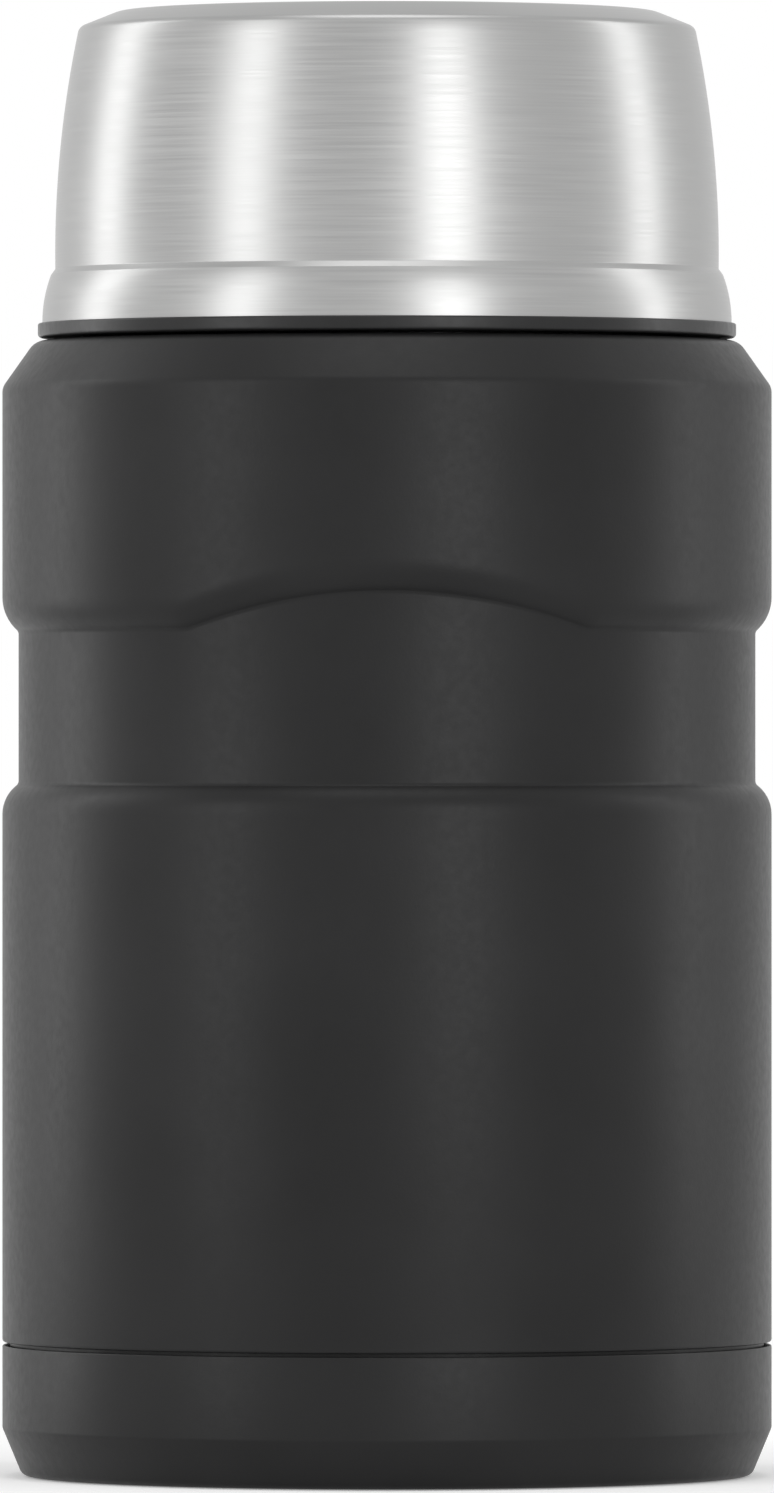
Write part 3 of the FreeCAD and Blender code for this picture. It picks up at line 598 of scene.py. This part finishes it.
# Stopper body: the moulded plastic cup that screws into the mouth, open until its cover is in.
# A groove round its foot holds the seal, and a ledge inside carries the cover's plug.
STOPPER_RADIUS = 33.3
STOPPER_BASE = 132.0
STOPPER_FLOOR = 133.6
STOPPER_TOP = 150.6
STOPPER_BORE = 31.7
LOWER_BORE = 30.2
PLUG_BASE = 143.0
GROOVE_RADIUS = 31.8
GROOVE_LOW = 134.0
GROOVE_HIGH = 137.0
FOOT_EDGE = 0.8
MOULD_EDGE = 0.25
stopper_plastic = moulded_plastic(
    "stopper_plastic", (0.020, 0.020, 0.021), (0.027, 0.027, 0.028), 0.5)
stopper_body = spun("stopper_cup", rounded([
    (0.0, STOPPER_BASE),
    (STOPPER_RADIUS, STOPPER_BASE, FOOT_EDGE),
    (STOPPER_RADIUS, GROOVE_LOW, MOULD_EDGE),
    (GROOVE_RADIUS, GROOVE_LOW, MOULD_EDGE),
    (GROOVE_RADIUS, GROOVE_HIGH, MOULD_EDGE),
    (STOPPER_RADIUS, GROOVE_HIGH, MOULD_EDGE),
    (STOPPER_RADIUS, STOPPER_TOP, MOULD_EDGE),
    (STOPPER_BORE, STOPPER_TOP, MOULD_EDGE),
    (STOPPER_BORE, PLUG_BASE),
    (LOWER_BORE, PLUG_BASE),
    (LOWER_BORE, STOPPER_FLOOR, FOOT_EDGE),
    (0.0, STOPPER_FLOOR),
]))
dress(stopper_body, "stopper", "stopper_plastic", [stopper_plastic], "stopper_body")
STOPPER_THREAD_CREST = 34.3
stopper_thread = thread_bead("stopper_thread", STOPPER_RADIUS, STOPPER_THREAD_CREST,
                             MOUTH_THREAD_START, PARTNER_THREAD_BEARING)
dress(stopper_thread, "stopper", "stopper_plastic", [stopper_plastic])

# Stopper seal: a moulded grey silicone ring, stretched into the stopper's groove.
# Its wiping edge stands out towards the mouth, and is drawn relaxed, just clear of the steel.
SEAL_BORE = 32.1
SEAL_BACK_RADIUS = 33.4
SEAL_RADIUS = 34.2
SEAL_LOW = 134.2
SEAL_HIGH = 136.8
WIPER_LOW = 135.0
WIPER_HIGH = 136.0
SEAL_EDGE = 0.3
silicone, tree, shader = surface("grey_silicone")
place = object_place(tree)
silicone_tones = two_tones(
    tree, noise(tree, place, 120.0), (0.23, 0.23, 0.24), (0.27, 0.27, 0.28))
tree.links.new(silicone_tones, shader.inputs["Base Color"])
tree.links.new(between(tree, noise(tree, place, 500.0), 0.48, 0.58), shader.inputs["Roughness"])
bumped(tree, shader, noise(tree, place, 1800.0, 2.0), 0.00001, 0.5)
seal = spun("silicone_seal", rounded([
    (SEAL_BORE, SEAL_LOW, SEAL_EDGE),
    (SEAL_BACK_RADIUS, SEAL_LOW, SEAL_EDGE),
    (SEAL_RADIUS, WIPER_LOW, SEAL_EDGE),
    (SEAL_RADIUS, WIPER_HIGH, SEAL_EDGE),
    (SEAL_BACK_RADIUS, SEAL_HIGH, SEAL_EDGE),
    (SEAL_BORE, SEAL_HIGH, SEAL_EDGE),
]))
dress(seal, "stopper_slide", "gasket_silicone", [silicone], "stopper_gasket")

# Stopper cover: a moulded flanged dish, plugged into the stopper and welded there.
# A bar across the dish is moulded with it, and the stopper is turned by that.
COVER_RADIUS = 36.0
COVER_BASE = 150.8
COVER_TOP = 153.6
PLUG_RADIUS = 31.5
GRIP_RADIUS = 29.5
GRIP_FLOOR = 144.6
GRIP_ROUNDING = 1.5
COVER_EDGE = 0.8
BAR_WIDTH = 14.0
BAR_SINK = 0.6
BAR_LAP = 1.0
cover = spun("stopper_cover_dish", rounded([
    (0.0, PLUG_BASE),
    (PLUG_RADIUS, PLUG_BASE, 0.4),
    (PLUG_RADIUS, COVER_BASE),
    (COVER_RADIUS, COVER_BASE, 0.3),
    (COVER_RADIUS, COVER_TOP, COVER_EDGE),
    (GRIP_RADIUS, COVER_TOP, COVER_EDGE),
    (GRIP_RADIUS, GRIP_FLOOR, GRIP_ROUNDING),
    (0.0, GRIP_FLOOR),
]))
bpy.ops.object.select_all(action="DESELECT")
bpy.ops.mesh.primitive_cube_add(size=1.0, location=(0, 0, 0))
bar = bpy.context.active_object
bar_bottom = GRIP_FLOOR - BAR_SINK
bar_length = 2 * math.sqrt((GRIP_RADIUS + BAR_LAP) ** 2 - (BAR_WIDTH / 2) ** 2)
bpy.ops.transform.resize(value=(bar_length * MM, BAR_WIDTH * MM, (COVER_TOP - bar_bottom) * MM),
                         center_override=(0, 0, 0))
bpy.ops.transform.translate(value=(0.0, 0.0, (COVER_TOP + bar_bottom) / 2 * MM))
bpy.ops.object.transform_apply(location=True, rotation=True, scale=True)
edge = bar.modifiers.new("edge", "BEVEL")
edge.width = COVER_EDGE * MM
edge.segments = 4
bpy.ops.object.modifier_apply(modifier=edge.name)
bpy.ops.object.select_all(action="DESELECT")
cover.select_set(True)
bpy.context.view_layer.objects.active = cover
join = cover.modifiers.new("grip_bar", "BOOLEAN")
join.operation = "UNION"
join.object = bar
bpy.ops.object.modifier_apply(modifier=join.name)
bpy.data.objects.remove(bar)
bpy.ops.object.shade_smooth_by_angle(angle=SMOOTH_ANGLE)
dress(cover, "stopper", "stopper_plastic", [stopper_plastic], "stopper_cover")

# Lid ring: the black threaded ring that the lid's steel shell is pressed over.
# Only its low band shows, between the steel and the jar's shoulder.
RING_BORE = 37.9
RING_BASE = 140.4
RING_TOP = 150.4
BAND_RADIUS = 43.12
BAND_TOP = 142.2
RING_STEP_RADIUS = 41.87
RING_UPPER_RADIUS = 40.2
RING_TAPER_TOP = 147.6
ring_plastic = moulded_plastic(
    "ring_plastic", (0.007, 0.007, 0.0072), (0.010, 0.010, 0.0103), 0.36)
lid_ring = spun("lid_thread_ring", rounded([
    (RING_BORE, RING_BASE, 0.4),
    (BAND_RADIUS, RING_BASE, 0.5),
    (BAND_RADIUS, BAND_TOP, 0.25),
    (RING_STEP_RADIUS, BAND_TOP),
    (RING_UPPER_RADIUS, RING_TAPER_TOP),
    (RING_UPPER_RADIUS, RING_TOP),
    (RING_BORE, RING_TOP, 0.3),
]))
dress(lid_ring, "lid", "ring_plastic", [ring_plastic], "lid_rim_ring")
LID_THREAD_CREST = 36.9
lid_thread = thread_bead("lid_thread", RING_BORE, LID_THREAD_CREST, NECK_THREAD_START,
                         PARTNER_THREAD_BEARING)
dress(lid_thread, "lid", "ring_plastic", [ring_plastic])

# Lid shell: the brushed steel cup on top, with a low skirt and a step to its slightly bowed wall.
# It tapers towards a broad rounded shoulder and a flat top.
LID_WALL = 0.6
LID_TOP = 180.7
SKIRT_RADIUS, SKIRT_BASE = 42.57, 142.2
STEP_LOW_RADIUS, SKIRT_TOP = 41.5, 148.2
SIDE_LOW_RADIUS, STEP_TOP = 40.97, 148.9
SIDE_HIGH_RADIUS, SIDE_TOP = 38.2, 178.0
EDGE_RADIUS, EDGE_TOP = 37.5, 178.98
CROWN_RADIUS = 33.2
SKIRT_BEND = 16.5
SIDE_BEND = 134.6
EDGE_BEND = 1.2
STEP_ROUNDING = 0.15
CROWN_ROUNDING = 3.0
INNER_SKIRT_TOP = 147.8
INNER_STEP_TOP = 148.5
INNER_SIDE_TOP = 177.8
INNER_EDGE_RADIUS, INNER_EDGE_TOP = 37.3, 178.5
INNER_CROWN_RADIUS = 33.1
INNER_SKIRT_BEND = 15.9
INNER_SIDE_BEND = 134.0
INNER_CROWN_ROUNDING = 2.4
lid_steel = turned_steel(
    "lid_brushed_steel", (0.335, 0.335, 0.333), (0.365, 0.365, 0.362), 0.34, 0.0000012)
skirt_base = (SKIRT_RADIUS, SKIRT_BASE)
skirt_top = (STEP_LOW_RADIUS, SKIRT_TOP)
side_low = (SIDE_LOW_RADIUS, STEP_TOP)
side_high = (SIDE_HIGH_RADIUS, SIDE_TOP)
edge_high = (EDGE_RADIUS, EDGE_TOP)
lid_outside = [
    skirt_base,
    *bend(skirt_base, skirt_top, SKIRT_BEND),
    (*skirt_top, STEP_ROUNDING),
    (*side_low, STEP_ROUNDING),
    *bend(side_low, side_high, SIDE_BEND, 24),
    *bend(side_high, edge_high, EDGE_BEND, 5),
    edge_high,
    (CROWN_RADIUS, LID_TOP, CROWN_ROUNDING),
    (0.0, LID_TOP),
]
inner_skirt_base = (SKIRT_RADIUS - LID_WALL, SKIRT_BASE)
inner_skirt_top = (STEP_LOW_RADIUS - LID_WALL, INNER_SKIRT_TOP)
inner_side_low = (SIDE_LOW_RADIUS - LID_WALL, INNER_STEP_TOP)
inner_side_high = (SIDE_HIGH_RADIUS - LID_WALL, INNER_SIDE_TOP)
lid_inside = [
    inner_skirt_base,
    *bend(inner_skirt_base, inner_skirt_top, INNER_SKIRT_BEND),
    inner_skirt_top,
    inner_side_low,
    *bend(inner_side_low, inner_side_high, INNER_SIDE_BEND, 24),
    inner_side_high,
    (INNER_EDGE_RADIUS - LID_WALL, INNER_EDGE_TOP),
    (INNER_CROWN_RADIUS, LID_TOP - LID_WALL, INNER_CROWN_ROUNDING),
    (0.0, LID_TOP - LID_WALL),
]
lid_shell = spun("lid_steel_shell", rounded(lid_outside + lid_inside[::-1]))
dress(lid_shell, "lid", "lid_steel", [lid_steel], "lid_outer_shell")

# Lid bowl: the lid's inner steel cup, drawn thin and held by its rim on the ring's upper edge.
# It serves as a bowl when the lid is turned over, and the stopper stands up into it.
BOWL_RIM = 150.6
BOWL_RIM_TOP = 151.1
BOWL_RIM_RADIUS = 40.0
BOWL_RADIUS = 38.4
BOWL_BORE = 37.87
BOWL_ROOF_RADIUS = 36.9
BOWL_ROOF_BORE = 36.4
BOWL_ROOF = 176.8
BOWL_CEILING = 176.3
BOWL_EDGE = 0.2
bowl_steel = turned_steel("bowl_steel", (0.42, 0.42, 0.415), (0.52, 0.52, 0.51), 0.22)
lid_bowl = spun("lid_bowl_steel", rounded([
    (RING_BORE, BOWL_RIM, BOWL_EDGE),
    (BOWL_RIM_RADIUS, BOWL_RIM, BOWL_EDGE),
    (BOWL_RIM_RADIUS, BOWL_RIM_TOP, BOWL_EDGE),
    (BOWL_RADIUS, BOWL_RIM_TOP, BOWL_EDGE),
    (BOWL_ROOF_RADIUS, BOWL_ROOF, 5.0),
    (0.0, BOWL_ROOF),
    (0.0, BOWL_CEILING),
    (BOWL_ROOF_BORE, BOWL_CEILING, 4.5),
    (BOWL_BORE, BOWL_RIM_TOP, BOWL_EDGE),
]))
dress(lid_bowl, "lid_slide", "bowl_steel", [bowl_steel], "lid_inner_bowl")

# Hidden pieces: the shell bottom and its glass seal, the foil, the getter and its cup, the foam.
# They are welded, fused or shut in, and nothing shows them, so they keep their CAD shapes.
vacuum_steel = turned_steel("vacuum_steel", (0.26, 0.26, 0.255), (0.34, 0.34, 0.335), 0.38)
foil, tree, shader = surface("shield_foil")
shader.inputs["Metallic"].default_value = 1.0
place = object_place(tree)
tree.links.new(two_tones(tree, noise(tree, place, 80.0), (0.74, 0.74, 0.74), (0.86, 0.86, 0.86)),
               shader.inputs["Base Color"])
tree.links.new(between(tree, noise(tree, place, 300.0), 0.16, 0.28), shader.inputs["Roughness"])
bumped(tree, shader, noise(tree, place, 400.0), 0.0001, 0.5)
glass, tree, shader = surface("solder_glass")
place = object_place(tree)
tree.links.new(
    two_tones(tree, noise(tree, place, 900.0), (0.17, 0.135, 0.085), (0.23, 0.185, 0.115)),
    shader.inputs["Base Color"])
tree.links.new(between(tree, noise(tree, place, 700.0), 0.12, 0.24), shader.inputs["Roughness"])
pellet, tree, shader = surface("getter_pellet")
place = object_place(tree)
tree.links.new(two_tones(tree, noise(tree, place, 1500.0), (0.13, 0.13, 0.12), (0.22, 0.21, 0.20)),
               shader.inputs["Base Color"])
tree.links.new(between(tree, noise(tree, place, 1500.0), 0.7, 0.9), shader.inputs["Roughness"])
bumped(tree, shader, noise(tree, place, 2500.0), 0.0001, 0.6)
foam, tree, shader = surface("insulation_foam")
place = object_place(tree)
tree.links.new(two_tones(tree, noise(tree, place, 500.0), (0.72, 0.70, 0.62), (0.84, 0.82, 0.75)),
               shader.inputs["Base Color"])
tree.links.new(between(tree, noise(tree, place, 500.0), 0.85, 0.95), shader.inputs["Roughness"])
bumped(tree, shader, noise(tree, place, 1600.0), 0.0002, 0.6)
for node_name, material in (
    ("shell_bottom", vacuum_steel),
    ("evacuation_seal", glass),
    ("heat_shield_foil", foil),
    ("getter_holder", vacuum_steel),
    ("getter", pellet),
    ("stopper_insulation", foam),
):
    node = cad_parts[node_name]
    node.data.materials.clear()
    node.data.materials.append(material)
